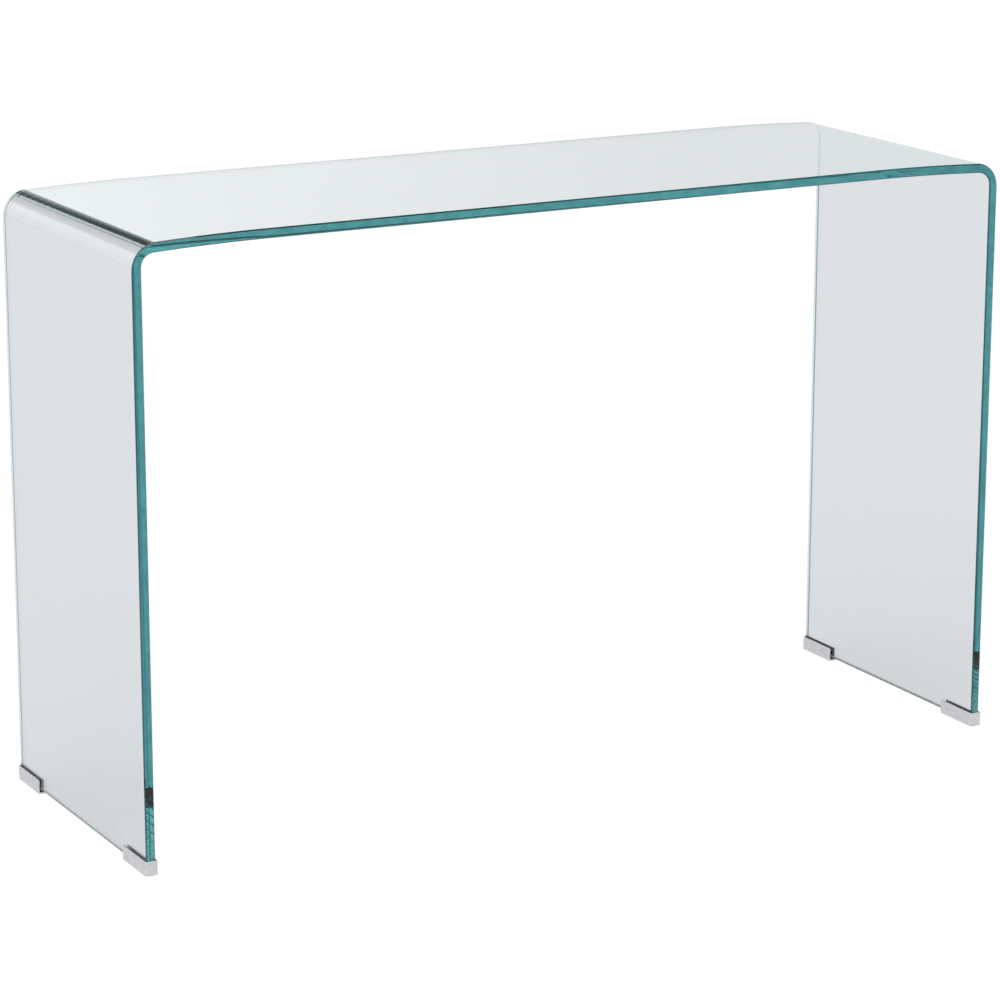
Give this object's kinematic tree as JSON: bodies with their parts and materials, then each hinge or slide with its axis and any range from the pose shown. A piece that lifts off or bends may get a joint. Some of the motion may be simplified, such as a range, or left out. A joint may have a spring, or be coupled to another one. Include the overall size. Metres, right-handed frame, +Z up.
{
  "type": "console table",
  "caption": "Long narrow table bent from one thick sheet of clear glass, top and both legs in one, standing in metal corner shoes.",
  "frame": {"origin": "on the floor, under the middle of the table top", "axes": "+X along the table, +Y to the back (the long edge away from the person in front), +Z up"},
  "size_m": [1.204, 0.404, 0.76],
  "materials": {
    "clear_glass": "clear float glass, 12 mm, hot bent, edges polished flat; colourless through its faces, blue-green along its edges",
    "shoe_metal": "satin polished stainless steel",
    "lining_rubber": "black moulded rubber",
    "floor_pad": "thin grey self-adhesive pad"
  },
  "bodies": {
    "root": {"bent_glass": "clear_glass", "front_left_shoe": "shoe_metal", "front_left_lining": "lining_rubber", "front_left_pad": "floor_pad", "front_right_shoe": "shoe_metal", "front_right_lining": "lining_rubber", "front_right_pad": "floor_pad", "back_left_shoe": "shoe_metal", "back_left_lining": "lining_rubber", "back_left_pad": "floor_pad", "back_right_shoe": "shoe_metal", "back_right_lining": "lining_rubber", "back_right_pad": "floor_pad"}
  },
  "joints": []
}
